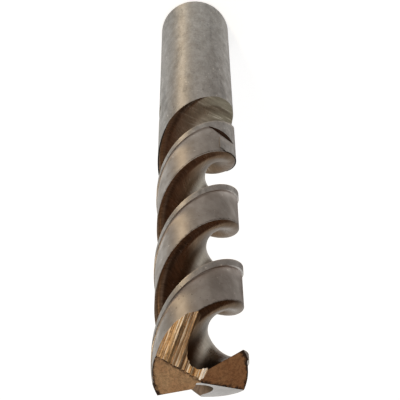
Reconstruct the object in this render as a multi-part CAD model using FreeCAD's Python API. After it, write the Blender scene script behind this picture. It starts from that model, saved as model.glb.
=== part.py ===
"""Two-flute twist drill with a straight shank and a split point, in millimetres.

The drill stands on its shank end: the origin is the centre of that end face, +Z runs along
the axis to the point, and the two main cutting lips lie parallel to X in the end view.
"""
import FreeCAD, Part
import math
import os

Vec = FreeCAD.Vector

# Overall sizes
DRILL_DIAMETER = 12.5
SHANK_DIAMETER = 12.45
OVERALL_LENGTH = 151.0
FLUTE_LENGTH = 103.5
SHANK_CHAMFER = 0.5

# Helix and web
HELIX_LEAD = 57.4
WEB_THICKNESS = 2.14
WEB_GROWTH = 0.0046

# Flute section, square to the axis
FLOOR_RADIUS = 2.68
FLOOR_BEARING = 51.0
LIP_FACE_RADIUS = 10.6
HEEL_FACE_RADIUS = 6.67
HEEL_NOSE_RADIUS = 0.8
HEEL_NOSE_LEAN = 17.0
LAND_ANGLE = 83.6
GRINDING_WHEEL_RADIUS = 56.0

# Margins and body clearance
MARGIN_WIDTH = 1.47
CLEARANCE_DEPTH = 0.22
CLEARANCE_LENGTH = 80.0

# Point
POINT_ANGLE = 135.0
LIP_RELIEF = 8.0
CHISEL_LENGTH = 0.5
SECOND_LIP_ANGLE = 45.0
SECOND_LIP_RAKE = 4.0
SECOND_LIP_OVERLAP = 0.25
GASH_BEARING = -115.0
GASH_TILT = 53.6

# Construction allowances
OVERCUT = 1.5
LAND_OVERLAP = 8.0
FLOOR_BANDS = 4
SECTION_TURN = 20.0
RUN_OUT_STEPS = 8
SURFACE_DEGREE = 3

# Sizes that follow
RADIUS = DRILL_DIAMETER / 2
SHANK_RADIUS = SHANK_DIAMETER / 2
SHANK_LENGTH = OVERALL_LENGTH - FLUTE_LENGTH
WEB_RADIUS = WEB_THICKNESS / 2
CORNER_BEARING = math.degrees(math.asin(WEB_RADIUS / RADIUS))
CORNER_X = math.sqrt(RADIUS**2 - WEB_RADIUS**2)
POINT_SLOPE = 1 / math.tan(math.radians(POINT_ANGLE / 2))
RELIEF_SLOPE = math.tan(math.radians(LIP_RELIEF))
POINT_HEIGHT = POINT_SLOPE * CORNER_X - RELIEF_SLOPE * WEB_RADIUS
CORNER_Z = OVERALL_LENGTH - POINT_HEIGHT
CLEARANCE_END_Z = OVERALL_LENGTH - CLEARANCE_LENGTH
BACK_TAPER = (RADIUS - SHANK_RADIUS) / (CORNER_Z - SHANK_LENGTH)
HELIX_ANGLE = math.atan(math.pi * DRILL_DIAMETER / HELIX_LEAD)


def polar(radius, bearing):
    """Point at a radius and a bearing in degrees."""
    angle = math.radians(bearing)
    return Vec(radius * math.cos(angle), radius * math.sin(angle), 0)


def unit(vector):
    """The vector at length one."""
    return vector * (1 / vector.Length)


def arc(centre, start, end):
    """The shorter arc round a centre from start to end, as a cubic curve."""
    first = start - centre
    last = end - centre
    reach = 4 / 3 * math.tan(first.getAngle(last) / 4)
    reach = math.copysign(reach, first.cross(last).z)
    curve = Part.BezierCurve()
    curve.setPoles([
        start,
        start + Vec(-first.y, first.x, 0) * reach,
        end - Vec(-last.y, last.x, 0) * reach,
        end,
    ])
    return curve.toShape()


def line(start, end):
    """Straight edge from start to end."""
    return Part.LineSegment(start, end).toShape()


def third_corner(base, far, base_reach, far_reach, side):
    """Corner of a triangle at given distances from two points, on the chosen side."""
    gap = far - base
    along = (base_reach**2 + gap.Length**2 - far_reach**2) / (2 * gap.Length)
    across = math.sqrt(base_reach**2 - along**2)
    forward = unit(gap)
    return base + forward * along + Vec(-forward.y, forward.x, 0) * across * side


def web_radius(z):
    """Radius of the web, which grows from the point to the shank."""
    return WEB_RADIUS + WEB_GROWTH / 2 * (OVERALL_LENGTH - z)


def body_radius(z):
    """Radius of the fluted body, full at the outer corners and down to the shank's behind them."""
    return RADIUS - BACK_TAPER * (CORNER_Z - z)


def turn_at(z):
    """Turn of the helix at a height, in degrees, zero at the outer corners."""
    return 360 * (z - CORNER_Z) / HELIX_LEAD


def floor_bands(centre, start, end):
    """Narrow bands in place of the round floor, with their edges on the round."""
    first = start - centre
    step = first.getAngle(end - centre) / FLOOR_BANDS
    points = [start]
    for i in range(1, FLOOR_BANDS):
        spoke = FreeCAD.Rotation(Vec(0, 0, 1), -math.degrees(step * i)).multVec(first)
        points.append(centre + spoke)
    points.append(end)
    return [line(points[i], points[i + 1]) for i in range(FLOOR_BANDS)]


def flute_wire(z):
    """Flute outline at a height, closed outside the drill, with its leading corner on X."""
    centre = Vec(0, 0, 0)
    floor_centre = polar(web_radius(z) + FLOOR_RADIUS, FLOOR_BEARING)
    corner = Vec(RADIUS, 0, 0)
    face_centre = third_corner(floor_centre, corner, LIP_FACE_RADIUS - FLOOR_RADIUS, LIP_FACE_RADIUS, 1)
    face_start = third_corner(centre, face_centre, RADIUS + OVERCUT, LIP_FACE_RADIUS, -1)
    face_end = floor_centre + unit(floor_centre - face_centre) * FLOOR_RADIUS

    heel_bearing = 180 - LAND_ANGLE
    heel = polar(RADIUS - CLEARANCE_DEPTH, heel_bearing)
    nose_centre = heel + polar(HEEL_NOSE_RADIUS, heel_bearing + 180 - HEEL_NOSE_LEAN)
    heel_centre = third_corner(
        floor_centre, nose_centre, HEEL_FACE_RADIUS - FLOOR_RADIUS, HEEL_FACE_RADIUS + HEEL_NOSE_RADIUS, -1
    )
    floor_end = floor_centre + unit(floor_centre - heel_centre) * FLOOR_RADIUS
    nose_start = nose_centre + unit(heel_centre - nose_centre) * HEEL_NOSE_RADIUS

    to_start = nose_start - nose_centre
    to_heel = heel - nose_centre
    nose_reach = HEEL_NOSE_RADIUS / math.cos(to_start.getAngle(to_heel) / 2)
    nose_corner = nose_centre + unit(to_start + to_heel) * nose_reach
    outside = heel + unit(heel - nose_corner) * OVERCUT
    past_heel = unit(outside) * (RADIUS + OVERCUT)
    return Part.Wire([
        arc(face_centre, face_start, face_end),
        *floor_bands(floor_centre, face_end, floor_end),
        arc(heel_centre, floor_end, nose_start),
        line(nose_start, nose_corner),
        line(nose_corner, outside),
        line(outside, past_heel),
        arc(centre, past_heel, face_start),
    ])


def place(wire, z, lift=0):
    """The outline at its height and turn, lifted out of the drill along the floor's bearing."""
    wire.translate(polar(lift, FLOOR_BEARING))
    wire.rotate(Vec(0, 0, 0), Vec(0, 0, 1), CORNER_BEARING + turn_at(z))
    wire.translate(Vec(0, 0, z))
    return wire


def stations(low, high):
    """Heights from high to low, a fixed turn of the helix apart or less."""
    count = math.ceil(abs(turn_at(high) - turn_at(low)) / SECTION_TURN)
    return [high + (low - high) * i / count for i in range(count + 1)]


def flute_cutter():
    """One flute, with the wheel's arc where the grinding runs out toward the shank."""
    depth = SHANK_RADIUS - web_radius(SHANK_LENGTH)
    sweep = math.acos(1 - depth / GRINDING_WHEEL_RADIUS)
    start_z = SHANK_LENGTH + GRINDING_WHEEL_RADIUS * math.sin(sweep) * math.cos(HELIX_ANGLE)
    sections = [place(flute_wire(z), z) for z in stations(start_z, OVERALL_LENGTH + OVERCUT)]
    for i in range(1, RUN_OUT_STEPS + 1):
        angle = sweep * i / RUN_OUT_STEPS
        z = start_z - GRINDING_WHEEL_RADIUS * math.sin(angle) * math.cos(HELIX_ANGLE)
        lift = GRINDING_WHEEL_RADIUS * (1 - math.cos(angle))
        sections.append(place(flute_wire(z), z, lift))
    return Part.makeLoft(sections, True, False, False, SURFACE_DEGREE)


def body_cone(low, high, inset=0):
    """Tapered round body between two heights, set in from the margins."""
    return Part.makeCone(body_radius(low) - inset, body_radius(high) - inset, high - low, Vec(0, 0, low))


def clearance_cutter():
    """The thin layer ground off one land behind its margin."""
    centre = Vec(0, 0, 0)
    margin_edge = polar(RADIUS + OVERCUT, -math.degrees(MARGIN_WIDTH / RADIUS))
    past_heel = polar(RADIUS + OVERCUT, -LAND_ANGLE - LAND_OVERLAP)
    wire = Part.Wire([
        line(centre, margin_edge),
        arc(centre, margin_edge, past_heel),
        line(past_heel, centre),
    ])
    top = OVERALL_LENGTH + OVERCUT
    sections = [place(wire.copy(), z) for z in stations(CLEARANCE_END_Z, top)]
    sector = Part.makeLoft(sections, True, False, False, SURFACE_DEGREE)
    return sector.cut(body_cone(CLEARANCE_END_Z - OVERCUT, top + OVERCUT, CLEARANCE_DEPTH))


def slab(origin, along, normal):
    """Large block on the outer side of a plane, for cutting it flat."""
    size = 4 * DRILL_DIAMETER
    across = unit(normal.cross(along))
    corner = origin - unit(along) * size / 2 - across * size / 2
    face = Part.Face(Part.makePolygon([
        corner,
        corner + unit(along) * size,
        corner + unit(along) * size + across * size,
        corner + across * size,
        corner,
    ]))
    return face.extrude(unit(normal) * size)


def flank_cutter():
    """Everything above one flank, on its own side of the web."""
    apex = Vec(0, 0, OVERALL_LENGTH)
    normal = Vec(POINT_SLOPE, -RELIEF_SLOPE, 1)
    along = Vec(1, 0, -POINT_SLOPE)
    return slab(apex, along, normal)


def gash_cutter():
    """Wedge that thins the web: its floor takes off the heel, its wall leaves the second lip."""
    apex = Vec(0, 0, OVERALL_LENGTH)
    chisel_bearing = math.degrees(math.atan2(POINT_SLOPE, RELIEF_SLOPE))
    chisel_end = apex - polar(CHISEL_LENGTH / 2, chisel_bearing)
    tilt = math.radians(GASH_TILT)
    floor_normal = polar(math.sin(tilt), GASH_BEARING) + Vec(0, 0, math.cos(tilt))
    rake = math.radians(SECOND_LIP_RAKE)
    wall_normal = polar(math.cos(rake), SECOND_LIP_ANGLE - 90) - Vec(0, 0, math.sin(rake))
    edge = unit(wall_normal.cross(floor_normal))
    floor_way = edge.cross(floor_normal) * -1
    wall_way = edge.cross(wall_normal)
    depth = (wall_normal.dot(chisel_end - apex) + SECOND_LIP_OVERLAP) / wall_normal.dot(floor_way)
    size = 3 * DRILL_DIAMETER
    start = chisel_end - floor_way * depth - edge * size / 2
    face = Part.Face(Part.makePolygon([
        start,
        start + floor_way * size,
        start + floor_way * size + wall_way * size,
        start + wall_way * size,
        start,
    ]))
    return face.extrude(edge * size)


def turned(shape):
    """The same shape half a turn round the axis."""
    copy = shape.copy()
    copy.rotate(Vec(0, 0, 0), Vec(0, 0, 1), 180)
    return copy


def drill():
    """The whole drill as one solid."""
    blank = Part.makeCone(SHANK_RADIUS - SHANK_CHAMFER, SHANK_RADIUS, SHANK_CHAMFER)
    shank_wall = SHANK_LENGTH - SHANK_CHAMFER
    blank = blank.fuse(Part.makeCylinder(SHANK_RADIUS, shank_wall, Vec(0, 0, SHANK_CHAMFER)))
    blank = blank.fuse(body_cone(SHANK_LENGTH, OVERALL_LENGTH))
    cutters = []
    for cutter in (flute_cutter(), clearance_cutter(), flank_cutter(), gash_cutter()):
        cutters += [cutter, turned(cutter)]
    for cutter in cutters:
        blank = blank.cut(cutter)
    return max(blank.Solids, key=lambda solid: solid.Volume)


if __name__ == "__main__":
    os.makedirs("parts", exist_ok=True)
    shape = drill()
    shape.exportStep("parts/twist_drill.step")
    print("volume", shape.Volume, "valid", shape.isValid(), "box", shape.BoundBox)
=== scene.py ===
"""Twist drill standing on its shank end: ground flutes, relieved lands and a split point."""

import logging
import math
import random
from dataclasses import dataclass
from enum import Enum

import bmesh
import bpy
from mathutils import Matrix, Vector


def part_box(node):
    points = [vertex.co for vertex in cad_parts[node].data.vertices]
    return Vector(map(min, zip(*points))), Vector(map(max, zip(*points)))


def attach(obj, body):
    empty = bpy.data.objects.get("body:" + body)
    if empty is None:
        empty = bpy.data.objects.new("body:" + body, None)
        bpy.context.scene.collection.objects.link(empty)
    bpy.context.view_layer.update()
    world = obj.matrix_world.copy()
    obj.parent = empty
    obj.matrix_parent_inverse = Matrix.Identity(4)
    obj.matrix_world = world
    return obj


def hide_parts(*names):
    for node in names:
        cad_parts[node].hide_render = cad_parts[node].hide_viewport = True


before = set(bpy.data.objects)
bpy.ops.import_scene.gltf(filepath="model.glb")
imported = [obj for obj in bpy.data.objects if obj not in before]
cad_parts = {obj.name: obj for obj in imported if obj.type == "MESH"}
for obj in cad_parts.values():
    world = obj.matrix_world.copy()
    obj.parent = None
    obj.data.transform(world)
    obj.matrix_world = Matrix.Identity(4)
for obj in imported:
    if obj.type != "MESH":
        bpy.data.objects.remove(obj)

MM = 0.001
NODE = "twist_drill"
# Values between which nearly all of a cloudy noise lies.
NOISE_RANGE = (0.3, 0.7)
SWEEP_SIZES = ("high", "spacing", "lead", "corner_height", "corner_bearing")
LIFT_SIZES = ("lift_bearing", "lift_start", "lift_slope", "wheel_radius", "web_growth")

log = logging.getLogger(NODE)
Point = tuple[float, float]
Triple = tuple[float, float, float]
Solid = bpy.types.Object
Group = bpy.types.NodeTree
Socket = bpy.types.NodeSocket
Sockets = dict[str, Socket]
SOCKET_KINDS = {float: "Float", tuple: "Vector", Solid: "Object", bpy.types.Material: "Material"}


class Cut(Enum):
    """The ways in which the drill's surfaces are ground, each with a finish of its own."""

    BODY = "body"
    FLUTE = "flute"
    RELIEF = "relief"
    FLANK = "flank"
    GASH = "gash"
    STEP = "step"
    END = "end"


Finishes = dict[Cut, bpy.types.Material]


@dataclass(frozen=True)
class DrillSizes:
    """Driving sizes of the drill, in millimetres and degrees."""

    diameter: float
    length: float
    shank_diameter: float = 12.45
    flute_length: float = 103.5
    shank_chamfer: float = 0.5
    lead: float = 57.4
    web_thickness: float = 2.14
    web_growth: float = 0.0046
    margin_width: float = 1.47
    relief_depth: float = 0.22
    point_angle: float = 135.0
    lip_relief: float = 8.0

    @property
    def radius(self) -> float:
        """Radius over the margins at the outer corners."""
        return self.diameter / 2

    @property
    def web_radius(self) -> float:
        """Radius of the web at the point."""
        return self.web_thickness / 2

    @property
    def shank_length(self) -> float:
        """Height at which the flutes have run out."""
        return self.length - self.flute_length

    @property
    def corner_bearing(self) -> float:
        """Bearing of the outer corner of the first lip, in degrees."""
        return math.degrees(math.asin(self.web_radius / self.radius))

    @property
    def point_slope(self) -> float:
        """Fall of a flank for each millimetre outwards along its lip."""
        return 1 / math.tan(math.radians(self.point_angle / 2))

    @property
    def relief_slope(self) -> float:
        """Fall of a flank for each millimetre behind its lip."""
        return math.tan(math.radians(self.lip_relief))

    @property
    def corner_height(self) -> float:
        """Height of the outer corners."""
        corner_x = math.sqrt(self.radius**2 - self.web_radius**2)
        return self.length - self.point_slope * corner_x + self.relief_slope * self.web_radius

    @property
    def helix_angle(self) -> float:
        """Angle between the leading edge and the axis, in radians."""
        return math.atan(math.pi * self.diameter / self.lead)

    def body_radius(self, z: float) -> float:
        """Radius over the margins at a height, tapering back to the shank."""
        taper = (self.diameter - self.shank_diameter) / 2 / (self.corner_height - self.shank_length)
        return self.radius - taper * (self.corner_height - z)


def polar(radius: float, bearing: float) -> Vector:
    """Point of the plane at a radius and a bearing in degrees."""
    angle = math.radians(bearing)
    return Vector((radius * math.cos(angle), radius * math.sin(angle)))


def third_corner(base: Vector, far: Vector, base_reach: float, far_reach: float, side: int) -> Vector:
    """Corner of a triangle that lies at given distances from two points.

    Args:
        base: First point.
        far: Second point.
        base_reach: Distance of the corner from the first point.
        far_reach: Distance of the corner from the second point.
        side: 1 for the left of the way from base to far, -1 for the right.

    Returns:
        The corner.
    """
    gap = far - base
    along = (base_reach**2 + gap.length_squared - far_reach**2) / (2 * gap.length)
    across = math.sqrt(base_reach**2 - along**2)
    forward = gap.normalized()
    return base + forward * along + Vector((-forward.y, forward.x)) * across * side


def arc_points(centre: Vector, start: Vector, end: Vector, spacing: float) -> list[Vector]:
    """Points along the shorter arc between two points.

    Args:
        centre: Centre of the arc.
        start: First point.
        end: Last point.
        spacing: Largest distance between points.

    Returns:
        The points from start up to, but without, end.
    """
    arm = start - centre
    sweep = -arm.angle_signed(end - centre)
    count = max(1, math.ceil(abs(sweep) * arm.length / spacing))
    return [centre + Matrix.Rotation(sweep * i / count, 2) @ arm for i in range(count)]


@dataclass(frozen=True)
class FluteSection:
    """Outline of the wheel that grinds a flute, square to the axis, leading corner on X."""

    sizes: DrillSizes
    floor_radius: float = 2.68
    floor_bearing: float = 51.0
    lip_face_radius: float = 10.6
    heel_face_radius: float = 6.67
    nose_radius: float = 0.95
    nose_lean: float = 16.0
    land_angle: float = 83.6
    overcut: float = 1.5
    overshoot: float = 1.3
    spacing: float = 0.16

    def outline(self) -> list[Vector]:
        """Draws the lip's face, the floor, the heel's face and its nose as tangent arcs.

        Returns:
            Points of the closed outline, anticlockwise round the metal that is ground away.
        """
        sizes = self.sizes
        middle = Vector((0, 0))
        floor, face, curl = self.floor_radius, self.lip_face_radius, self.heel_face_radius
        floor_centre = polar(sizes.web_radius + floor, self.floor_bearing)
        face_centre = third_corner(floor_centre, Vector((sizes.radius, 0)), face - floor, face, 1)
        outer = sizes.radius + self.overcut
        face_start = third_corner(middle, face_centre, outer, face, -1)
        face_end = floor_centre + (floor_centre - face_centre).normalized() * floor

        heel_bearing = 180 - self.land_angle
        heel = polar(sizes.radius - sizes.relief_depth, heel_bearing)
        nose_centre = heel + polar(self.nose_radius, heel_bearing + 180 - self.nose_lean)
        curl_centre = third_corner(floor_centre, nose_centre, curl - floor, curl + self.nose_radius, -1)
        floor_end = floor_centre + (floor_centre - curl_centre).normalized() * floor
        nose_start = nose_centre + (curl_centre - nose_centre).normalized() * self.nose_radius
        rise = self.overshoot * sizes.relief_depth / math.sin(math.radians(self.nose_lean))
        heel_out = heel + polar(1, heel_bearing - 90 + self.nose_lean) * rise

        points = arc_points(face_centre, face_start, face_end, self.spacing)
        points += arc_points(floor_centre, face_end, floor_end, self.spacing)
        points += arc_points(curl_centre, floor_end, nose_start, self.spacing)
        points += arc_points(nose_centre, nose_start, heel, self.spacing / 2)
        points += [heel, heel_out]
        points += arc_points(middle, heel_out.normalized() * outer, face_start, self.overcut)
        return points[::-1]


def mesh_object(name: str, points: list[Vector], faces: list[tuple[int, ...]]) -> Solid:
    """A mesh with its faces turned outwards, or a closed loop of edges if it has none.

    Args:
        name: Name of the object.
        points: Corners in millimetres.
        faces: Corners of each face, in order.

    Returns:
        The object, which isn't linked to the scene.
    """
    mesh = bpy.data.meshes.new(name)
    loop = [] if faces else [(i, (i + 1) % len(points)) for i in range(len(points))]
    mesh.from_pydata([tuple(p.to_3d()) for p in points], loop, faces)
    shape = bmesh.new()
    shape.from_mesh(mesh)
    bmesh.ops.recalc_face_normals(shape, faces=shape.faces)
    shape.to_mesh(mesh)
    shape.free()
    return bpy.data.objects.new(name, mesh)


def skinned(name: str, rings: list[list[Vector]]) -> Solid:
    """A closed solid through rings of equally many corners, with a flat cap at both ends.

    Args:
        name: Name of the object.
        rings: Corners of each ring, from one end to the other.

    Returns:
        The object, which isn't linked to the scene.
    """
    count = len(rings[0])
    last = count * (len(rings) - 1)
    faces = [tuple(range(count)), tuple(range(last, last + count))]
    for low in range(0, last, count):
        for i in range(count):
            j = (i + 1) % count
            faces.append((low + i, low + j, low + count + j, low + count + i))
    return mesh_object(name, [corner for ring in rings for corner in ring], faces)


def linked(name: str, data: bpy.types.ID) -> Solid:
    """Adds an object to the scene.

    Args:
        name: Name of the object.
        data: Its mesh, camera or lamp.

    Returns:
        The object.
    """
    added = bpy.data.objects.new(name, data)
    bpy.context.scene.collection.objects.link(added)
    return added


def title(name: str) -> str:
    """A socket's name as it is shown, from its name with underscores."""
    return name.replace("_", " ").title()


class Tree:
    """A node tree with short ways to add nodes, values and links."""

    def __init__(self, tree: Group) -> None:
        """Keeps the tree that nodes are added to."""
        self.tree = tree

    def add(self, kind: str, *inputs: object, **settings: object) -> bpy.types.Node:
        """Adds a node.

        Args:
            kind: Name of the node type.
            inputs: Sockets to link or values to set, in the order of the node's inputs.
            settings: Properties of the node, and named inputs under names with a capital.

        Returns:
            The node.
        """
        node = self.tree.nodes.new(kind)
        named = {key.replace("_", " "): value for key, value in settings.items() if key[0].isupper()}
        for key, value in settings.items():
            if key[0].islower():
                setattr(node, key, value)
        for key, value in [*enumerate(inputs), *named.items()]:
            self.put(node, key, value)
        return node

    def put(self, node: bpy.types.Node, key: int | str, value: object) -> None:
        """Links or sets one input of a node.

        Args:
            node: The node.
            key: Place or name of the input.
            value: Socket or value; None leaves the input as it is.
        """
        if isinstance(value, Socket):
            self.tree.links.new(value, node.inputs[key])
        elif value is not None:
            node.inputs[key].default_value = value

    def out(self, kind: str, *inputs: object, output: int | str = 0, **settings: object) -> Socket:
        """Adds a node and returns one of its outputs, the first if none is named."""
        return self.add(kind, *inputs, **settings).outputs[output]

    def math(self, operation: str, *inputs: object, clamp: bool = False) -> Socket:
        """Works out a value."""
        return self.out("ShaderNodeMath", *inputs, operation=operation, use_clamp=clamp)

    def times(self, first: object, second: object, clamp: bool = False) -> Socket:
        """The product of two values."""
        return self.math("MULTIPLY", first, second, clamp=clamp)

    def minus(self, first: object, second: object, clamp: bool = False) -> Socket:
        """The first value less the second."""
        return self.math("SUBTRACT", first, second, clamp=clamp)

    def vector(self, operation: str, *inputs: object) -> Socket:
        """Works out a vector, or the value that stands for a length or a dot product."""
        output = "Value" if operation in ("LENGTH", "DOT_PRODUCT") else "Vector"
        return self.out("ShaderNodeVectorMath", *inputs, operation=operation, output=output)

    def xyz(self, x: object = None, y: object = None, z: object = None) -> Socket:
        """The vector with these values along the axes."""
        return self.out("ShaderNodeCombineXYZ", x, y, z)

    def inputs(self, **values: object) -> Sockets:
        """Gives the tree named inputs.

        Args:
            values: Value of each input, or in a word the kind of an input that has none.

        Returns:
            The sockets inside the tree by the same names.
        """
        for name, value in values.items():
            kinds = [kind for known, kind in SOCKET_KINDS.items() if isinstance(value, known)]
            kind = f"NodeSocket{kinds[0] if kinds else value}"
            socket = self.tree.interface.new_socket(title(name), in_out="INPUT", socket_type=kind)
            if isinstance(value, (float, tuple)):
                socket.default_value = value
        return dict(zip(values, self.add("NodeGroupInput").outputs))

    def outputs(self, **values: Socket) -> None:
        """Gives the tree named outputs.

        Args:
            values: The socket inside the tree that each output is linked to.
        """
        for name, value in values.items():
            kind = "Float" if value.type == "VALUE" else value.type.title()
            self.tree.interface.new_socket(title(name), in_out="OUTPUT", socket_type=f"NodeSocket{kind}")
        self.add("NodeGroupOutput", *values.values())

    def placed(self, group: Group, **values: object) -> Sockets:
        """Places a node group.

        Args:
            group: The group.
            values: Its inputs, under their names with underscores.

        Returns:
            Its outputs under their names with underscores.
        """
        node = self.add(self.tree.bl_idname.replace("Tree", "Group"), node_tree=group)
        for name, value in values.items():
            self.put(node, title(name), value)
        return {socket.name.replace(" ", "_").lower(): socket for socket in node.outputs}


def helical_sweep_tree() -> Group:
    """Tree that sweeps an outline up the helix and lifts it where the wheel leaves.

    Returns:
        The geometry node group.
    """
    tree = Tree(bpy.data.node_groups.new("helical_sweep", "GeometryNodeTree"))
    sizes = {**dict.fromkeys(SWEEP_SIZES, 1.0), **dict.fromkeys(LIFT_SIZES, 0.0)}
    given = tree.inputs(outline="Object", finish="Material", low=0.0, **sizes)
    outline = tree.out("GeometryNodeObjectInfo", given["outline"], output="Geometry")
    profile = tree.out("GeometryNodeMeshToCurve", outline)
    start, end = (tree.xyz(z=given[name]) for name in ("low", "high"))
    line = tree.out("GeometryNodeCurvePrimitiveLine", start, end)
    steps = tree.out("GeometryNodeResampleCurve", line, mode="LENGTH", Length=given["spacing"])
    sweep = tree.out("GeometryNodeCurveToMesh", steps, profile, Fill_Caps=True)

    position = tree.out("GeometryNodeInputPosition")
    height = tree.out("ShaderNodeSeparateXYZ", position, output="Z")
    below = tree.math("MAXIMUM", tree.minus(given["lift_start"], height), 0.0)
    travel = tree.times(below, given["lift_slope"])
    wheel = given["wheel_radius"]
    square = tree.minus(tree.math("POWER", wheel, 2.0), tree.math("POWER", travel, 2.0))
    wheel_lift = tree.minus(wheel, tree.math("SQRT", square))
    drop = tree.minus(given["corner_height"], height)
    web_lift = tree.times(drop, tree.times(given["web_growth"], 0.5))
    lift = tree.math("ADD", wheel_lift, web_lift)
    bearing = tree.math("RADIANS", given["lift_bearing"])
    way = tree.xyz(tree.math("COSINE", bearing), tree.math("SINE", bearing))
    moved = tree.vector("ADD", position, tree.vector("SCALE", way, None, None, lift))
    turn = tree.times(tree.math("DIVIDE", drop, given["lead"]), -2 * math.pi)
    turn = tree.math("ADD", turn, tree.math("RADIANS", given["corner_bearing"]))
    turned = tree.out("ShaderNodeVectorRotate", moved, rotation_type="Z_AXIS", Angle=turn)
    placed = tree.out("GeometryNodeSetPosition", sweep, Position=turned)
    tree.outputs(cutter=tree.out("GeometryNodeSetMaterial", placed, None, given["finish"]))
    return tree.tree


def ground_drill_tree(sweep: Group, values: dict[str, object]) -> Group:
    """Tree that takes the swept and the plane cutters from the blank, on both sides.

    Args:
        sweep: The tree that sweeps an outline up the helix.
        values: Sizes, cutters and finishes, under the names of the tree's inputs.

    Returns:
        The geometry node group.
    """
    tree = Tree(bpy.data.node_groups.new("ground_drill", "GeometryNodeTree"))
    given = tree.inputs(blank="Geometry", **values)

    def swept(kind: Cut, names: tuple[str, ...]) -> Socket:
        """The swept cutter of one kind, with the sizes of the given names."""
        own = {key: given[f"{kind.value}_{key}"] for key in ("outline", "low", "finish")}
        return tree.placed(sweep, **own, **{name: given[name] for name in names})["cutter"]

    def dressed(geometry: Socket, kind: Cut) -> Socket:
        """The geometry in one finish."""
        return tree.out("GeometryNodeSetMaterial", geometry, None, given[f"{kind.value}_finish"])

    def block(name: str, kind: Cut) -> Socket:
        """One of the given objects, in one finish."""
        return dressed(tree.out("GeometryNodeObjectInfo", given[name], output="Geometry"), kind)

    def cut(base: Socket, tool: Socket) -> Socket:
        """The first solid less the second."""
        return tree.out("GeometryNodeMeshBoolean", base, tool, operation="DIFFERENCE", solver="MANIFOLD")

    def half_turned(geometry: Socket) -> Socket:
        """The same geometry half a turn round the axis."""
        return tree.out("GeometryNodeTransform", geometry, Rotation=(0, 0, math.pi))

    flute = swept(Cut.FLUTE, SWEEP_SIZES + LIFT_SIZES)
    stop = block("relief_end", Cut.STEP)
    relief = cut(swept(Cut.RELIEF, SWEEP_SIZES), block("relief_edge", Cut.RELIEF))
    facet = cut(block("relief_facet", Cut.RELIEF), stop)
    drill = dressed(given["blank"], Cut.BODY)
    for tool in (flute, cut(relief, stop), facet, block("flank_block", Cut.FLANK)):
        drill = cut(cut(drill, tool), half_turned(tool))
    drill = cut(drill, block("gash_wedge", Cut.GASH))
    drill = cut(drill, half_turned(block("second_wedge", Cut.GASH)))

    smooth = tree.out("GeometryNodeSetShadeSmooth", drill, domain="FACE")
    angle = tree.out("GeometryNodeInputMeshEdgeAngle", output="Unsigned Angle")
    crease = tree.out("FunctionNodeCompare", angle, given["crease_angle"], operation="GREATER_THAN")
    creased = tree.out("GeometryNodeSetShadeSmooth", smooth, crease, False, domain="EDGE")
    realized = tree.out("GeometryNodeRealizeInstances", creased)
    height = tree.out("ShaderNodeSeparateXYZ", tree.out("GeometryNodeInputPosition"), output="Z")
    at_end = tree.math("LESS_THAN", height, given["end_height"])
    tree.outputs(drill=tree.out("GeometryNodeSetMaterial", realized, at_end, given["end_finish"]))
    return tree.tree


@dataclass(frozen=True)
class GashFrame:
    """Foot of the gash and the directions of its floor and wall."""

    start: Vector
    floor_normal: Vector
    floor_way: Vector
    edge: Vector
    wall_way: Vector


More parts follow.
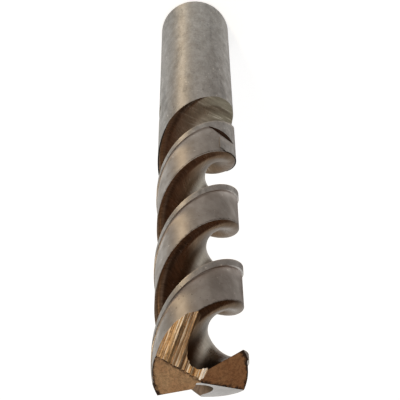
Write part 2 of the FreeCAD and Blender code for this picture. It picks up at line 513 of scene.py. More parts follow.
@dataclass(frozen=True)
class TwistDrill:
    """The drill as one ground piece."""

    sizes: DrillSizes
    wheel_radius: float = 56.0
    overcut: float = 1.5
    sides: int = 192
    ring_spacing: float = 1.6
    station_spacing: float = 0.3
    relief_past_heel: float = 10.0
    relief_spacing: Point = (0.1, 0.4)
    step_width: float = 0.15
    relief_end_height: float = 70.7
    relief_end_bearing: float = -146.0
    relief_end_slope: float = 0.355
    facet_bearing: float = -152.0
    facet_depth: float = 0.55
    facet_slope: float = 0.12
    edge_heights: Point = (-13.0, 7.8)
    chisel_length: float = 0.5
    second_lip_angle: float = 45.0
    second_lip_rake: float = 4.0
    second_lip_overlap: float = 0.25
    gash_bearing: float = -115.0
    gash_tilt: float = 53.6
    wedge_reach: float = 1.5
    groove_widths: Point = (0.1, 0.5)
    groove_spread: Point = (0.6, 1.0)
    groove_low: float = 0.25
    groove_rise: Point = (0.4, 1.0)
    groove_depths: tuple[float, ...] = (0.0, 0.02, 0.04, 0.1, 0.2)
    fine_depths: tuple[float, ...] = (0.0, 0.004, 0.008)
    crease_angle: float = 28.0
    gash_seed: int = 7

    def heights(self, low: float, high: float) -> list[float]:
        """Ring heights from low to high, a ring's spacing apart or less."""
        count = math.ceil((high - low) / self.ring_spacing)
        return [low + (high - low) * i / count for i in range(count + 1)]

    def blank(self) -> Solid:
        """Turns the bar before grinding: chamfer, shank and tapered body.

        Returns:
            The closed solid.
        """
        sizes = self.sizes
        shank = sizes.shank_diameter / 2
        profile = [(shank - sizes.shank_chamfer, 0.0)]
        profile += [(shank, z) for z in self.heights(sizes.shank_chamfer, sizes.shank_length)]
        body = self.heights(sizes.shank_length, sizes.length + 1)[1:]
        profile += [(sizes.body_radius(z), z) for z in body]
        turns = [math.tau * i / self.sides for i in range(self.sides)]
        rings = [[Vector((r * math.cos(a), r * math.sin(a), z)) for a in turns] for r, z in profile]
        return skinned("drill_blank", rings)

    def relief_outline(self) -> list[Vector]:
        """Draws what is ground off a land, down a rounded step, leading corner on X.

        Returns:
            Points of the closed outline.
        """
        sizes = self.sizes
        start = sizes.margin_width
        end = math.radians(FluteSection(sizes).land_angle + self.relief_past_heel) * sizes.radius
        fine, coarse = self.relief_spacing
        inner = []
        along = 0.0
        while start + along < end:
            depth = sizes.relief_depth * (1 - math.exp(-along / self.step_width))
            inner.append(polar(sizes.radius - depth, -math.degrees((start + along) / sizes.radius)))
            along += fine if along < 6 * self.step_width else coarse
        outer = sizes.radius + self.overcut
        lead_in = inner[0] + (inner[0] - inner[1]) * (self.overcut / (inner[0] - inner[1]).length)
        near = lead_in.normalized() * outer
        far = arc_points(Vector((0, 0)), inner[-1].normalized() * outer, near, 1.0)
        return [lead_in] + inner + far + [near]

    def block(self, name: str, origin: Vector, along: Vector, normal: Vector) -> Solid:
        """Large block on the outer side of a plane.

        Args:
            name: Name of the object.
            origin: Point of the plane.
            along: Direction in the plane.
            normal: Outward direction of the plane.

        Returns:
            The closed block.
        """
        size = self.sizes.length
        rows = [along.normalized(), normal.cross(along).normalized(), normal.normalized()]
        signs = [(-1, -1), (1, -1), (1, 1), (-1, 1)]
        base = [origin + (rows[0] * a + rows[1] * b) * size for a, b in signs]
        return skinned(name, [base, [p + rows[2] * 2 * size for p in base]])

    def relief_end(self) -> Solid:
        """Makes the block under the leaning plane at which the relief stops toward the shank.

        Returns:
            The closed block.
        """
        normal = polar(self.relief_end_slope, self.relief_end_bearing + 90).to_3d() - Vector((0, 0, 1))
        origin = Vector((0, 0, self.relief_end_height))
        return self.block("relief_end", origin, polar(1, self.relief_end_bearing).to_3d(), normal)

    def relief_edge(self) -> Solid:
        """Makes the block that keeps the sweep off the side where only the last facet was ground.

        Returns:
            The closed block.
        """
        size = self.sizes.diameter
        turns = ((0, 0), (size, 0), (size * 2, -60), (size, -120))
        corners = [polar(reach, self.relief_end_bearing + turn) for reach, turn in turns]
        heights = [self.relief_end_height + height for height in self.edge_heights]
        return skinned("relief_edge", [[Vector((p.x, p.y, z)) for p in corners] for z in heights])

    def relief_facet(self) -> Solid:
        """Makes the block outside the leaning facet that the wheel leaves where the relief stops.

        Returns:
            The closed block.
        """
        reach = self.sizes.body_radius(self.relief_end_height) - self.facet_depth
        way = polar(1, self.facet_bearing).to_3d()
        origin = way * reach + Vector((0, 0, self.relief_end_height))
        along = Vector((-way.y, way.x, 0))
        return self.block("relief_facet", origin, along, way - Vector((0, 0, self.facet_slope)))

    def flank_block(self) -> Solid:
        """Makes the block above the flank behind the first lip.

        Returns:
            The closed block.
        """
        slope = self.sizes.point_slope
        tip = Vector((0, 0, self.sizes.length))
        normal = Vector((slope, -self.sizes.relief_slope, 1))
        return self.block("flank_block", tip, Vector((1, 0, -slope)), normal)

    def gash_frame(self) -> GashFrame:
        """Works out where the wedge that thins the web stands.

        Returns:
            The foot and the directions of the wedge.
        """
        sizes = self.sizes
        apex = Vector((0, 0, sizes.length))
        chisel_bearing = math.degrees(math.atan2(sizes.point_slope, sizes.relief_slope))
        chisel_end = apex - polar(self.chisel_length / 2, chisel_bearing).to_3d()
        tilt = math.radians(self.gash_tilt)
        floor_normal = polar(math.sin(tilt), self.gash_bearing).to_3d() + Vector((0, 0, math.cos(tilt)))
        rake = math.radians(self.second_lip_rake)
        wall_way = polar(math.cos(rake), self.second_lip_angle - 90).to_3d()
        wall_normal = wall_way - Vector((0, 0, math.sin(rake)))
        edge = wall_normal.cross(floor_normal).normalized()
        floor_way = floor_normal.cross(edge)
        depth = (wall_normal.dot(chisel_end - apex) + self.second_lip_overlap) / wall_normal.dot(floor_way)
        start = chisel_end - floor_way * depth
        return GashFrame(start, floor_normal, floor_way, edge, edge.cross(wall_normal))

    def gash_wedge(self, name: str, groove_depths: tuple[float, ...]) -> Solid:
        """Wedge that thins the web: a floor through the heel and a plain wall.

        Args:
            name: Name of the object.
            groove_depths: Depths that the grooves of the floor are chosen from.

        Returns:
            The closed wedge.
        """
        gash = self.gash_frame()
        size = self.wedge_reach * self.sizes.diameter
        chance = random.Random(self.gash_seed)
        section = [(0.0, 0.0)]
        while section[-1][0] < size:
            along = section[-1][0]
            depth = chance.choice(groove_depths) * chance.uniform(*self.groove_spread)
            width = chance.uniform(*self.groove_widths)
            section.append((along + width * self.groove_low, -depth))
            section.append((along + width, -depth * chance.uniform(*self.groove_rise)))
        start = gash.start - gash.edge * size
        near = [start + gash.floor_way * a + gash.floor_normal * b for a, b in section]
        near += [near[-1] + gash.wall_way * size, near[0] + gash.wall_way * size]
        return skinned(name, [near, [p + gash.edge * 2 * size for p in near]])

    def cutters(self) -> list[Solid]:
        """Makes what is ground from the blank.

        Returns:
            The swept outlines, the planes and the wedges.
        """
        section = FluteSection(self.sizes).outline()
        swept = [mesh_object("flute_outline", section, [])]
        swept += [mesh_object("relief_outline", self.relief_outline(), [])]
        planes = [self.relief_end(), self.relief_edge(), self.relief_facet(), self.flank_block()]
        depths = {"gash_wedge": self.groove_depths, "second_wedge": self.fine_depths}
        return swept + planes + [self.gash_wedge(name, values) for name, values in depths.items()]

    def values(self, finishes: Finishes) -> dict[str, object]:
        """Works out what the tree that grinds the drill needs.

        Args:
            finishes: The material of each kind of ground surface.

        Returns:
            The sizes, cutters and finishes by their names.
        """
        sizes = self.sizes
        depth = sizes.shank_diameter / 2 - sizes.web_radius
        sweep = math.acos(1 - depth / self.wheel_radius)
        run_out = self.wheel_radius * math.sin(sweep) * math.cos(sizes.helix_angle)
        return dict(
            flute_low=sizes.shank_length - self.overcut,
            relief_low=sizes.shank_length + self.overcut,
            high=sizes.length + 2 * self.overcut,
            spacing=self.station_spacing,
            lead=sizes.lead,
            corner_height=sizes.corner_height,
            corner_bearing=sizes.corner_bearing,
            lift_bearing=FluteSection(sizes).floor_bearing,
            lift_start=sizes.shank_length + run_out,
            lift_slope=1 / math.cos(sizes.helix_angle),
            wheel_radius=self.wheel_radius,
            web_growth=sizes.web_growth,
            crease_angle=math.radians(self.crease_angle),
            end_height=sizes.shank_chamfer,
            **{cutter.name: cutter for cutter in self.cutters()},
            **{f"{cut.value}_finish": finish for cut, finish in finishes.items()},
        )

    def build(self, finishes: Finishes) -> Solid:
        """Grinds the drill from its blank.

        Args:
            finishes: The material of each kind of ground surface.

        Returns:
            The finished piece.
        """
        piece = self.blank()
        bpy.context.scene.collection.objects.link(piece)
        values = self.values(finishes)
        shown = {title(name): value for name, value in values.items()}
        modifier = piece.modifiers.new("grinding", "NODES")
        modifier.node_group = ground_drill_tree(helical_sweep_tree(), values)
        for item in modifier.node_group.interface.items_tree:
            if item.name in shown:
                modifier[item.identifier] = shown[item.name]
        evaluated = piece.evaluated_get(bpy.context.evaluated_depsgraph_get())
        mesh = bpy.data.meshes.new_from_object(evaluated)
        mesh.transform(Matrix.Scale(MM, 4))
        drill = linked("ground_drill", mesh)
        bpy.data.objects.remove(piece)
        names = [material.name for material in mesh.materials]
        log.info("%s: %d faces, materials %s", drill.name, len(mesh.polygons), names)
        return drill


class ShaderTree(Tree):
    """A shader tree with the nodes that the finishes are mixed from."""

    def blend(self, factor: object, first: object, second: object) -> Socket:
        """Mixes two colours, from the first at 0 to the second at 1."""
        colours = [(*colour, 1) if isinstance(colour, tuple) else colour for colour in (first, second)]
        return self.out("ShaderNodeMix", factor, *[None] * 5, *colours, data_type="RGBA", output=2)

    def shade(self, colour: object, factor: object) -> Socket:
        """The colour made lighter or darker by a factor that changes over the surface."""
        return self.vector("SCALE", colour, None, None, factor)

    def remap(self, value: object, low: float, high: float, to: Point = (0.0, 1.0)) -> Socket:
        """The value between two limits, moved smoothly onto two others."""
        return self.out("ShaderNodeMapRange", value, low, high, *to, interpolation_type="SMOOTHSTEP")

    def noise(self, vector: object, scale: object, detail: float = 2.0, rough: float = 0.5) -> Socket:
        """Cloudy noise between 0 and 1, with its waves for each unit and its finer layers."""
        return self.out("ShaderNodeTexNoise", vector, Scale=scale, Detail=detail, Roughness=rough)

    def stretched(self, vector: object, stretch: object) -> Socket:
        """The coordinates multiplied along each axis."""
        return self.vector("MULTIPLY", vector, stretch)


def shader_group(name: str) -> ShaderTree:
    """A new shader node group to fill."""
    return ShaderTree(bpy.data.node_groups.new(name, "ShaderNodeTree"))


def drill_place_group(sizes: DrillSizes) -> Group:
    """Group that says where on the drill a point lies.

    Args:
        sizes: The drill's sizes.

    Returns:
        The group, with the point in millimetres, its radius, its height, and how far behind the
        leading edge it is, from 0 at one leading edge to 1 at the next.
    """
    tree = shader_group("drill_place")
    corner = math.radians(sizes.corner_bearing)
    given = tree.inputs(lead=sizes.lead, corner_height=sizes.corner_height, corner_bearing=corner)
    point = tree.stretched(tree.out("ShaderNodeTexCoord", output="Object"), (1 / MM,) * 3)
    axes = tree.add("ShaderNodeSeparateXYZ", point).outputs
    radius = tree.vector("LENGTH", tree.stretched(point, (1, 1, 0)))
    rise = tree.math("DIVIDE", tree.minus(axes["Z"], given["corner_height"]), given["lead"])
    turn = tree.math("MULTIPLY_ADD", rise, math.tau, given["corner_bearing"])
    turned = tree.minus(turn, tree.math("ARCTAN2", axes["Y"], axes["X"]))
    behind = tree.math("FRACT", tree.math("DIVIDE", turned, math.pi))
    tree.outputs(point=point, radius=radius, height=axes["Z"], behind=behind)
    return tree.tree


def grinding_marks_group() -> Group:
    """Group of fine parallel marks with a few deeper ones.

    Returns:
        The group, with the fine lines and the rare scratches, both from 0 to 1.
    """
    tree = shader_group("grinding_marks")
    given = tree.inputs(point="Vector", stretch=(1.0, 1.0, 1.0), scratch_share=0.3)
    lined = tree.stretched(given["point"], given["stretch"])
    coarse = tree.noise(lined, 1.0, 3.0, 0.6)
    fine = tree.noise(lined, 3.3, 2.0, 0.6)
    lines = tree.remap(tree.math("MULTIPLY_ADD", coarse, 0.6, tree.times(fine, 0.4)), *NOISE_RANGE)
    rare = tree.noise(tree.stretched(lined, (2.0, 2.0, 2.0)), 1.0, 1.0)
    limit = tree.minus(0.8, tree.times(given["scratch_share"], 0.4))
    tree.outputs(lines=lines, scratches=tree.times(tree.minus(rare, limit), 12.0, clamp=True))
    return tree.tree


def patina_group() -> Group:
    """Group of handling stains, bright nicks and dark pits.

    Returns:
        The group, with each of the three from 0 to 1.
    """
    tree = shader_group("patina")
    given = tree.inputs(point="Vector", stain_size=4.0, nick_size=0.3, nick_share=0.3)
    point = given["point"]
    per_stain, per_nick = (tree.math("DIVIDE", 1.0, given[name]) for name in ("stain_size", "nick_size"))
    limit = tree.minus(0.82, tree.times(given["nick_share"], 0.3))
    sharpness = 14.0
    elsewhere = (31.0, 17.0, 11.0)

    def spots(place: Socket) -> Socket:
        """Rare small spots."""
        return tree.times(tree.minus(tree.noise(place, per_nick, 1.0), limit), sharpness, clamp=True)

    tree.outputs(
        stains=tree.remap(tree.noise(point, per_stain, 5.0, 0.62), *NOISE_RANGE),
        nicks=spots(point),
        pits=spots(tree.vector("ADD", point, elsewhere)),
    )
    return tree.tree


def edge_line_group() -> Group:
    """Group of a line along an edge, used for painted highlights, painted shade and dark marks.

    Returns:
        The group, with a mask of 1 at the edge that ends unevenly at the line's width.
    """
    tree = shader_group("edge_line")
    given = tree.inputs(point="Vector", distance=0.0, width=0.2, wander=0.5)
    uneven = tree.minus(tree.noise(given["point"], 2.2, 3.0, 0.6), 0.5)
    shift = tree.times(tree.times(uneven, given["wander"]), 4.0)
    ratio = tree.math("DIVIDE", given["distance"], given["width"])
    tree.outputs(mask=tree.minus(1.0, tree.math("ADD", ratio, shift), clamp=True))
    return tree.tree


class Effects:
    """The node groups that the finishes share, each built once."""

    def __init__(self, sizes: DrillSizes) -> None:
        """Builds the groups.

        Args:
            sizes: The drill's sizes.
        """
        self.sizes = sizes
        self.place = drill_place_group(sizes)
        self.marks = grinding_marks_group()
        self.patina = patina_group()
        self.edge = edge_line_group()


class FinishTree(ShaderTree):
    """A finish's tree, which knows where on the drill a point lies and how worn it is there."""

    def __init__(self, tree: Group, effects: Effects) -> None:
        """Places the group that says where a point lies.

        Args:
            tree: The material's own tree.
            effects: The groups that the finishes share.
        """
        super().__init__(tree)
        self.effects = effects
        self.sizes = effects.sizes
        self.place = self.placed(effects.place)
        self.point = self.place["point"]
        self.worn: Sockets = {}

    def behind(self, edge: float) -> Socket:
        """Distance round the body behind an edge that follows the helix, in millimetres."""
        return self.times(self.minus(self.place["behind"], edge), math.pi * self.sizes.radius)

    def heel_distance(self) -> Socket:
        """Distance round the body from the heel, in millimetres."""
        return self.edge_distance(FluteSection(self.sizes).land_angle / 180)

    def edge_distance(self, edge: float) -> Socket:
        """Distance round the body from an edge that follows the helix.

        Args:
            edge: How far behind the leading edge it is, as a share of half a turn.

        Returns:
            The distance in millimetres.
        """
        gap = self.math("ABSOLUTE", self.minus(self.place["behind"], edge))
        gap = self.math("MINIMUM", gap, self.minus(1.0, gap))
        return self.times(gap, math.pi * self.sizes.radius)

    def line(self, distance: Socket, width: float, wander: float) -> Socket:
        """Mask of a line along an edge, used for painted highlights, painted shade and dark marks."""
        values = {"point": self.point, "distance": distance, "width": width, "wander": wander}
        return self.placed(self.effects.edge, **values)["mask"]

    def both_sides(self, x: float, y: float) -> Sockets:
        """Takes both halves of the drill as one.

        Args:
            x: First part of the direction that points to the first half.
            y: Second part of it.

        Returns:
            The side as 1 or -1, and the point as it lies on the first half.
        """
        side = self.math("SIGN", self.vector("DOT_PRODUCT", self.point, (x, y, 0)))
        return {"side": side, "point": self.stretched(self.point, self.xyz(side, side, 1.0))}


def new_material(name: str) -> tuple[bpy.types.Material, bpy.types.Node]:
    """Makes a material.

    Args:
        name: Name of the material.

    Returns:
        The material and its shader.
    """
    material = bpy.data.materials.new(name)
    material.use_nodes = True
    return material, material.node_tree.nodes["Principled BSDF"]


@dataclass(frozen=True)
class GroundFinish:
    """A ground steel surface: its tone, its marks and how it spreads a highlight."""

    name: str
    tone: Triple
    stain_tone: Triple
    roughness: float = 0.36
    roughness_swing: float = 0.1
    anisotropy: float = 0.0
    turn: float = 0.0
    edge_tint: Triple = (1.0, 1.0, 1.0)
    stain_stretch: Triple = (1.0, 1.0, 1.0)
    stretch: Triple = (0.5, 0.5, 9.0)
    line_contrast: float = 0.25
    line_depth: float = 0.006
    deep_marks: float = 2.0
    stain_size: float = 5.0
    nick_size: float = 0.35
    nick_share: float = 0.3
    nick_tone: Triple = (0.75, 0.70, 0.62)
    nick_strength: float = 0.55
    nick_gloss: float = 0.15
    pit_tone: Triple = (0.06, 0.045, 0.035)
    pit_strength: float = 0.5

    def colour(self, tree: FinishTree) -> Socket:
        """Mixes the tone with its stains, marks, nicks and pits.

        Args:
            tree: The material's tree.

        Returns:
            The base colour.
        """
        worn = tree.worn
        stained = tree.blend(worn["stains"], self.tone, self.stain_tone)
        swing = (1 - self.line_contrast, 1 + self.line_contrast)
        lined = tree.shade(stained, tree.remap(worn["lines"], 0.0, 1.0, swing))
        nicked = tree.blend(tree.times(worn["nicks"], self.nick_strength), lined, self.nick_tone)
        return tree.blend(tree.times(worn["pits"], self.pit_strength), nicked, self.pit_tone)

    def hollow(self, tree: FinishTree) -> object:
        """Depth of a shallow hollow in the surface, in millimetres."""
        return 0.0

    def polish(self, tree: FinishTree) -> object:
        """How much smoother the surface is where it has been burnished."""
        return 0.0

    def material(self, effects: Effects) -> bpy.types.Material:
        """Makes the finish's material.

        Args:
            effects: The groups that the finishes share.

        Returns:
            The material.
        """
        material, shader = new_material(self.name)
        tree = FinishTree(material.node_tree, effects)
        worn = tree.placed(effects.marks, point=tree.point, stretch=self.stretch)
        worn |= tree.placed(
            effects.patina,
            point=tree.stretched(tree.point, self.stain_stretch),
            stain_size=self.stain_size,
            nick_size=self.nick_size,
            nick_share=self.nick_share,
        )
        tree.worn = worn
        swing = self.roughness_swing
        rough = tree.math("MULTIPLY_ADD", worn["stains"], swing, self.roughness - swing / 2)
        rough = tree.minus(rough, tree.times(worn["nicks"], self.nick_gloss))
        height = tree.minus(worn["lines"], tree.times(worn["scratches"], self.deep_marks))
        height = tree.minus(height, tree.times(worn["pits"], self.deep_marks))
        height = tree.minus(height, tree.math("DIVIDE", self.hollow(tree), self.line_depth))
        surface = {
            "Metallic": 1.0,
            "Anisotropic": self.anisotropy,
            "Anisotropic Rotation": self.turn,
            "Specular Tint": (*self.edge_tint, 1),
            "Base Color": self.colour(tree),
            "Roughness": tree.minus(rough, self.polish(tree), clamp=True),
            "Normal": tree.out("ShaderNodeBump", Strength=1.0, Distance=self.line_depth * MM, Height=height),
        }
        for name, value in surface.items():
            tree.put(shader, name, value)
        return material


@dataclass(frozen=True)
class BodyFinish(GroundFinish):
    """Shank and margins: round ground, with a painted highlight along the leading edge."""

    edge_tone: Triple = (0.50, 0.46, 0.40)
    edge_width: float = 0.35
    edge_start: float = 12.0
    smear_stretch: Triple = (0.5, 0.5, 0.09)
    smear_limits: Point = (0.5, 0.68)
    smear_shades: Point = (1.04, 0.78)
    grain_stretch: Triple = (2.6, 2.6, 1.3)
    grain_shades: Point = (0.9, 1.1)

    def colour(self, tree: FinishTree) -> Socket:
        """Adds a painted highlight along the leading edges above the shank, and darker smears.

        Args:
            tree: The material's tree.

        Returns:
            The base colour.
        """
        plain = super().colour(tree)
        # Painted highlight: a light line along the leading edges, in place of the light that a rounded edge
        # catches.
        mask = tree.line(tree.edge_distance(0.0), self.edge_width, wander=0.5)
        foot = tree.sizes.shank_length + self.edge_start
        fluted = tree.math("GREATER_THAN", tree.place["height"], foot)
        edged = tree.blend(tree.times(mask, fluted), plain, self.edge_tone)
        smear = tree.noise(tree.stretched(tree.point, self.smear_stretch), 1.0, 4.0, 0.7)
        grain = tree.noise(tree.stretched(tree.point, self.grain_stretch), 1.0, 3.0, 0.7)
        smeared = tree.remap(smear, *self.smear_limits, self.smear_shades)
        return tree.shade(edged, tree.times(smeared, tree.remap(grain, *NOISE_RANGE, self.grain_shades)))


@dataclass(frozen=True)
class LandFinish(GroundFinish):
    """Relieved land: painted shade behind the margin's step, with dark dots along the heel."""

    step_shade_and_dot_tone: Triple = (0.09, 0.07, 0.055)
    soot_width: float = 0.5
    step_shade_strength: float = 0.35
    heel_width: float = 0.22
    heel_strength: float = 0.8
    hollow_depth: float = 0.45
    hollow_width: float = 2.0
    burnished: float = 0.2
    burnished_width: float = 3.0

    def behind_margin(self, tree: FinishTree) -> Socket:
        """Distance round the body behind the margin's step, in millimetres."""
        return tree.behind(tree.sizes.margin_width / tree.sizes.radius / math.pi)

    def hollow(self, tree: FinishTree) -> Socket:
        """The land falls away behind the margin, steeply at first."""
        left = tree.math("POWER", math.e, tree.math("DIVIDE", self.behind_margin(tree), -self.hollow_width))
        return tree.times(tree.minus(1.0, left), self.hollow_depth)

    def polish(self, tree: FinishTree) -> Socket:
        """The land is burnished beside the margin's step."""
        return tree.remap(self.behind_margin(tree), 0.0, self.burnished_width, (self.burnished, 0.0))

    def colour(self, tree: FinishTree) -> Socket:
        """Adds painted shade against the margin's step and a dark broken line along the heel.

        Args:
            tree: The material's tree.

        Returns:
            The base colour.
        """
        # Painted shade: a dark band behind the margin's step, where the step's shadow falls.
        near = tree.line(self.behind_margin(tree), self.soot_width, wander=0.3)
        step_shaded = tree.blend(tree.times(near, self.step_shade_strength), super().colour(tree), self.step_shade_and_dot_tone)
        dots = tree.line(tree.heel_distance(), self.heel_width, wander=1.0)
        return tree.blend(tree.times(dots, self.heel_strength), step_shaded, self.step_shade_and_dot_tone)


@dataclass(frozen=True)
class FluteFinish(GroundFinish):
    """Flute: bronze on the heel side, rubbed grey by the chips along the web, olive in the run-out."""

    web_tone: Triple = (0.38, 0.36, 0.32)
    web_shades: Point = (0.85, 1.1)
    web_radii: Point = (1.4, 3.0)
    run_out_tone: Triple = (0.17, 0.155, 0.12)
    run_out_shades: Point = (0.7, 1.3)
    run_out_heights: Point = (52.0, 68.0)
    run_out_bearing: float = -150.0
    streak_tone: Triple = (0.46, 0.44, 0.38)
    streak_limits: Point = (0.56, 0.68)
    streak_strength: float = 0.8
    streak_along: Triple = (-0.33, 0.625, -0.70)
    streak_across: Triple = (-0.406, -0.769, -0.495)
    streak_scales: Point = (2.2, 0.12)
    pocket_heights: Point = (145.0, 149.0)
    pocket_painted_shade: float = 0.33
    heel_reach: float = 2.8
    heel_painted_shade: float = 0.45
    edge_width: float = 0.45
    edge_tone: Triple = (0.035, 0.022, 0.015)
    edge_strength: float = 0.9

    def streaks(self, tree: FinishTree) -> Socket:
        """Draws straight marks across the run-out, the same on both sides.

        Args:
            tree: The material's tree.

        Returns:
            The marks as a noise from 0 to 1.
        """
        turned = tree.both_sides(*polar(1, self.run_out_bearing))["point"]
        ways = zip((self.streak_across, self.streak_along), self.streak_scales)
        parts = [tree.times(tree.vector("DOT_PRODUCT", turned, way), scale) for way, scale in ways]
        return tree.noise(tree.xyz(*parts), 1.0, 4.0, 0.65)

    def colour(self, tree: FinishTree) -> Socket:
        """Mixes the tones by the distance from the axis and the run-out, and darkens them with painted shade
        in the pocket by the point and near the heel.

        Args:
            tree: The material's tree.

        Returns:
            The base colour.
        """
        radius, height = tree.place["radius"], tree.place["height"]
        grey = tree.shade(self.web_tone, tree.remap(tree.worn["lines"], 0.0, 1.0, self.web_shades))
        toned = tree.blend(tree.remap(radius, *self.web_radii, (1.0, 0.0)), super().colour(tree), grey)
        streaks = self.streaks(tree)
        olive = tree.shade(self.run_out_tone, tree.remap(streaks, *NOISE_RANGE, self.run_out_shades))
        bare = tree.remap(streaks, *self.streak_limits, (0.0, self.streak_strength))
        scratched = tree.blend(bare, olive, self.streak_tone)
        whole = tree.blend(tree.remap(height, *self.run_out_heights, (1.0, 0.0)), toned, scratched)
        # Painted shade: darker deep in the pocket by the point.
        whole = tree.shade(whole, tree.remap(height, *self.pocket_heights, (1.0, self.pocket_painted_shade)))
        # Painted shade: darker towards the heel, where the flute lies in shade.
        heel = tree.heel_distance()
        whole = tree.shade(whole, tree.remap(heel, 0.0, self.heel_reach, (self.heel_painted_shade, 1.0)))
        edge = tree.line(heel, self.edge_width, wander=0.3)
        return tree.blend(tree.times(edge, self.edge_strength), whole, self.edge_tone)


@dataclass(frozen=True)
class FlankFinish(GroundFinish):
    """Flank of the point: bronze, with a painted dark reflection round its edges."""

    edge_reflection_tone: Triple = (0.05, 0.03, 0.02)
    edge_reflection_width: float = 0.4
    edge_reflection_strength: float = 1.1
    lip_narrowing: float = 3.0
    second_shade: Triple = (0.70, 0.57, 0.50)
    gash: GashFrame | None = None

    def colour(self, tree: FinishTree) -> Socket:
        """Adds painted dark reflections along the rim, the lip and the gash, and darkens the second flank
        with painted shade.

        Args:
            tree: The material's tree.

        Returns:
            The base colour.
        """
        plain = super().colour(tree)
        sizes, gash = tree.sizes, self.gash
        both = tree.both_sides(1, 0)
        across = tree.out("ShaderNodeSeparateXYZ", both["point"], output="Y")
        lip = tree.math("ABSOLUTE", tree.minus(across, sizes.web_radius))
        rim = tree.minus(sizes.radius - sizes.relief_depth, tree.place["radius"])
        above = tree.vector("DOT_PRODUCT", both["point"], tuple(gash.floor_normal))
        foot = tree.math("ABSOLUTE", tree.minus(above, gash.start.dot(gash.floor_normal)))
        nearest = tree.math("MINIMUM", tree.times(lip, self.lip_narrowing), foot)
        nearest = tree.math("MINIMUM", nearest, tree.math("MAXIMUM", rim, 0.0))
        # Painted reflection: dark lines along the edges, in place of rounded edges that mirror dark
        # surroundings.
        line = tree.line(nearest, self.edge_reflection_width, wander=0.7)
        mask = tree.times(line, self.edge_reflection_strength, clamp=True)
        # Painted shade: the second flank is the same bronze made darker, as it faces away from the light.
        darker = tree.stretched(plain, self.second_shade)
        one_flank_shaded = tree.blend(tree.math("LESS_THAN", both["side"], 0.0), plain, darker)
        return tree.blend(mask, one_flank_shaded, self.edge_reflection_tone)


@dataclass(frozen=True)
class GashFinish(GroundFinish):
    """Gash: gold with pale and dark brown strips along its grooves."""

    gash: GashFrame | None = None
    pale: Triple = (0.80, 0.66, 0.48)
    pale_limits: Point = (0.48, 0.66)
    dark: Triple = (0.16, 0.08, 0.035)
    dark_limits: Point = (0.50, 0.64)
    dark_stretch: Triple = (1.7, 1.7, 1.0)
    shaded: Triple = (0.19, 0.13, 0.085)
    shaded_rise: Point = (2.2, 3.2)
    shaded_fall: Point = (4.2, 5.2)
    shaded_shares: Point = (0.9, 0.3)
    bright: Triple = (0.85, 0.78, 0.68)
    highlight_reach: Point = (0.35, 0.65)
    highlight_strength: float = 0.9
    second: Triple = (0.185, 0.170, 0.152)
    second_shades: Point = (0.85, 1.1)
    strips: float = 5.0
    strip_length: float = 0.03

    def colour(self, tree: FinishTree) -> Socket:
        """Lays strips of three tones along the grooves on the first side, with a painted highlight by the
        wall; the second is grey.

        Args:
            tree: The material's tree.

        Returns:
            The base colour.
        """
        gash = self.gash
        both = tree.both_sides(gash.floor_normal.x, gash.floor_normal.y)
        across = tree.vector("DOT_PRODUCT", both["point"], tuple(gash.floor_way))
        along = tree.vector("DOT_PRODUCT", both["point"], tuple(gash.edge))
        streaked = tree.xyz(across, tree.times(along, self.strip_length))
        first = tree.noise(streaked, self.strips, 4.0, 0.65)
        second = tree.noise(tree.stretched(streaked, self.dark_stretch), self.strips, 4.0, 0.65)
        lit = tree.blend(tree.remap(first, *self.pale_limits), super().colour(tree), self.pale)
        streaky = tree.blend(tree.remap(second, *self.dark_limits), lit, self.dark)
        reach = tree.minus(across, gash.start.dot(gash.floor_way))
        risen = tree.remap(reach, *self.shaded_rise)
        middle = tree.times(risen, tree.remap(reach, *self.shaded_fall, (1.0, 0.0)))
        middle = tree.times(middle, tree.remap(first, 0.3, 0.6, self.shaded_shares))
        streaky = tree.blend(middle, streaky, self.shaded)
        # Painted highlight: a pale strip on the floor beside the wall, in place of light caught along the
        # second lip's wall.
        wall_highlight = tree.remap(reach, *self.highlight_reach, (self.highlight_strength, 0.0))
        streaky = tree.blend(wall_highlight, streaky, self.bright)
        grey = tree.shade(self.second, tree.remap(first, *NOISE_RANGE, self.second_shades))
        return tree.blend(tree.remap(both["side"], -0.5, 0.5), grey, streaky)


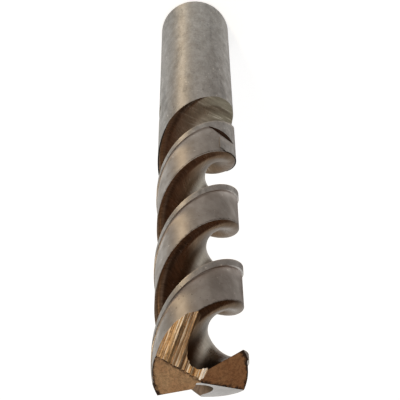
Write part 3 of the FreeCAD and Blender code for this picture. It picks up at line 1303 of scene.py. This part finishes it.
def finish_set(drill: TwistDrill) -> Finishes:
    """Makes the materials of the drill's surfaces.

    Args:
        drill: The drill.

    Returns:
        The material of each kind of ground surface.
    """
    effects = Effects(drill.sizes)
    gash = drill.gash_frame()
    satin = dict(
        anisotropy=0.9, turn=0.25, roughness=0.55,
        stretch=(1.5, 1.5, 9.0), line_contrast=0.06, line_depth=0.002,
    )
    finishes = {
        Cut.BODY: BodyFinish(
            "round_ground_steel", (0.41, 0.40, 0.38), (0.35, 0.335, 0.31), **satin,
            stain_size=1.2, stain_stretch=(1.0, 1.0, 0.4), nick_share=0.4,
        ),
        Cut.FLUTE: FluteFinish(
            "bronze_flute", (0.27, 0.19, 0.135), (0.22, 0.145, 0.098), roughness=0.3,
            stretch=(0.4, 0.4, 3.0), edge_tint=(0.5, 0.48, 0.45),
        ),
        Cut.RELIEF: LandFinish(
            "relieved_land", (0.43, 0.405, 0.375), (0.36, 0.33, 0.295), **satin,
            stain_size=1.5, stain_stretch=(1.0, 1.0, 0.5), nick_share=0.38,
        ),
        Cut.FLANK: FlankFinish(
            "bronze_flank", (0.57, 0.34, 0.17), (0.46, 0.25, 0.12), roughness=0.34,
            stretch=(2.5, 2.5, 1.0), stain_size=2.0, gash=gash,
        ),
        Cut.GASH: GashFinish(
            "golden_gash", (0.55, 0.33, 0.15), (0.42, 0.24, 0.10), roughness=0.32,
            stretch=(1.0, 1.0, 1.0), gash=gash,
        ),
        # Painted shade: the wall where the relief stops gets a near-black tone for the shade it lies in.
        Cut.STEP: GroundFinish(
            "sooty_step", (0.10, 0.055, 0.035), (0.06, 0.035, 0.022), roughness=0.5, stretch=(2.0, 2.0, 2.0)
        ),
        Cut.END: GroundFinish(
            "turned_end", (0.28, 0.26, 0.23), (0.20, 0.18, 0.15), roughness=0.4, stretch=(3.0, 3.0, 1.0)
        ),
    }
    return {cut: finish.material(effects) for cut, finish in finishes.items()}


@dataclass(frozen=True)
class PhotoCamera:
    """The photograph's camera, in the drill's frame and in millimetres."""

    location: Triple = (-40.096, -111.339, 395.775)
    forward: Triple = (0.12062, 0.33832, -0.93327)
    up: Triple = (-0.33057, -0.87279, -0.35912)
    lens: float = 195.967
    clip_end: float = 10.0

    def build(self) -> None:
        """Adds the camera and makes it the scene's own."""
        data = bpy.data.cameras.new("photo_camera")
        data.lens = self.lens
        data.clip_end = self.clip_end
        camera = linked("photo_camera", data)
        back = -Vector(self.forward).normalized()
        right = Vector(self.up).cross(back).normalized()
        turn = Matrix((right, back.cross(right), back)).transposed().to_4x4()
        camera.matrix_world = Matrix.Translation(Vector(self.location) * MM) @ turn
        bpy.context.scene.camera = camera


@dataclass(frozen=True)
class SoftLamp:
    """Rectangular lamp, by where it hangs round the drill."""

    name: str
    bearing: float
    elevation: float
    distance: float
    size: Point
    power: float
    colour: Triple

    def build(self, target: Vector) -> None:
        """Hangs the lamp.

        Args:
            target: Point that it faces, in metres.
        """
        data = bpy.data.lights.new(self.name, "AREA")
        data.shape = "RECTANGLE"
        data.size, data.size_y = self.size
        data.energy = self.power
        data.color = self.colour
        lamp = linked(self.name, data)
        level = math.radians(self.elevation)
        way = polar(math.cos(level), self.bearing).to_3d() + Vector((0, 0, math.sin(level)))
        lamp.location = target + way * self.distance
        lamp.rotation_euler = (-way).to_track_quat("-Z", "Y").to_euler()


@dataclass(frozen=True)
class Studio:
    """White floor, pale surroundings, a brown bench cloth that only reflections see, and lamps."""

    floor_size: float = 4.0
    floor_tone: float = 0.9
    floor_white: float = 0.6
    floor_glow: Point = (0.4, 0.75)
    glow_limits: Point = (-0.7, -0.1)
    far_bearing: float = 70.4
    world_strength: float = 0.42
    world_colour: Triple = (1.0, 0.99, 0.98)
    cloth_rings: tuple[Point, ...] = ((0.105, 0.001), (0.9, 0.001), (0.95, 0.3))
    cloth_fade: Point = (0.16, 0.45)
    cloth_shades: Point = (1.0, 0.15)
    cloth_bearings: Point = (-232.0, -55.0)
    cloth_steps: int = 24
    cloth_tones: tuple[Triple, Triple] = ((0.44, 0.23, 0.13), (0.60, 0.33, 0.19))
    cloth_weave: float = 30.0
    dullness: float = 0.9
    target: Triple = (0.0, 0.0, 0.09)

    def sheet(self, name: str, points: list[Triple], faces: list[tuple[int, ...]]) -> Solid:
        """Lays an open sheet on the stage.

        Args:
            name: Name of the object.
            points: Corners in metres.
            faces: Corners of each face, in order.

        Returns:
            The sheet.
        """
        mesh = bpy.data.meshes.new(name)
        mesh.from_pydata(points, [], faces)
        sheet = linked(name, mesh)
        return sheet

    def floor(self) -> None:
        """White floor that keeps the drill's shadow and glows a little in reflections."""
        half = self.floor_size / 2
        corners = [(-half, -half, 0), (half, -half, 0), (half, half, 0), (-half, half, 0)]
        floor = self.sheet("floor", corners, [(0, 1, 2, 3)])
        material, shader = new_material("floor_white")
        tree = ShaderTree(material.node_tree)
        rays = tree.add("ShaderNodeLightPath").outputs
        way = tree.vector("NORMALIZE", tree.out("ShaderNodeTexCoord", output="Object"))
        beyond = tree.vector("DOT_PRODUCT", way, tuple(polar(1, self.far_bearing).to_3d()))
        glow = tree.remap(beyond, *self.glow_limits, self.floor_glow)
        seen = tree.times(rays["Is Camera Ray"], self.floor_white)
        tree.put(shader, "Base Color", (self.floor_tone,) * 3 + (1,))
        tree.put(shader, "Roughness", self.dullness)
        tree.put(shader, "Emission Color", (1, 1, 1, 1))
        strength = tree.math("ADD", seen, tree.times(rays["Is Glossy Ray"], glow))
        tree.put(shader, "Emission Strength", strength)
        floor.data.materials.append(material)

    def bench_cloth(self) -> None:
        """Brown cloth that lies on the camera's side and rises behind it, which only reflections see."""
        low, high = self.cloth_bearings
        count = self.cloth_steps
        steps = [math.radians(low + (high - low) * i / count) for i in range(count + 1)]
        points = [(r * math.cos(a), r * math.sin(a), z) for a in steps for r, z in self.cloth_rings]
        rings = len(self.cloth_rings)
        corners = [rings * i + k for i in range(count) for k in range(rings - 1)]
        faces = [(c, c + 1, c + rings + 1, c + rings) for c in corners]
        cloth = self.sheet("bench_cloth", points, faces)
        cloth.visible_camera = False
        cloth.visible_shadow = False
        cloth.visible_diffuse = False
        material, shader = new_material("brown_cloth")
        tree = ShaderTree(material.node_tree)
        place = tree.out("ShaderNodeTexCoord", output="Object")
        woven = tree.blend(tree.noise(place, self.cloth_weave, 3.0), *self.cloth_tones)
        shade = tree.remap(tree.vector("LENGTH", place), *self.cloth_fade, self.cloth_shades)
        tree.put(shader, "Base Color", tree.shade(woven, shade))
        tree.put(shader, "Roughness", self.dullness)
        cloth.data.materials.append(material)

    def world(self) -> None:
        """Plain pale surroundings."""
        world = bpy.data.worlds.new("studio_world")
        world.use_nodes = True
        background = world.node_tree.nodes["Background"]
        background.inputs["Color"].default_value = (*self.world_colour, 1)
        background.inputs["Strength"].default_value = self.world_strength
        bpy.context.scene.world = world

    def build(self) -> None:
        """Sets the whole stage."""
        self.floor()
        self.bench_cloth()
        self.world()
        lamps = [
            SoftLamp("side_lamp", -81.0, 15.0, 0.8, (0.14, 0.4), 2.3, (1.0, 0.8, 0.55)),
            SoftLamp("low_lamp", -117.0, 8.0, 0.7, (0.35, 0.16), 0.35, (1.0, 0.97, 0.92)),
            SoftLamp("left_fill", 12.0, 8.0, 0.8, (0.3, 0.3), 0.8, (0.96, 0.98, 1.0)),
            SoftLamp("right_fill", 172.0, 10.0, 0.8, (0.2, 0.3), 0.3, (0.96, 0.98, 1.0)),
        ]
        for lamp in lamps:
            lamp.build(Vector(self.target))
        log.info("stage: floor, cloth, surroundings and %d lamps", len(lamps))


def main() -> None:
    """Builds the drill, its finishes and the stage."""
    logging.basicConfig(level=logging.INFO, format="%(message)s")
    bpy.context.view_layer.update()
    low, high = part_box(NODE)
    sizes = DrillSizes(
        diameter=round((high.x - low.x) / MM, 2),
        length=round((high.z - low.z) / MM, 2),
    )
    drill = TwistDrill(sizes)
    piece = drill.build(finish_set(drill))
    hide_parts(NODE)
    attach(piece, "root")
    Studio().build()
    PhotoCamera().build()
    bpy.context.scene.view_settings.view_transform = "Standard"


if __name__ == "__main__":
    main()
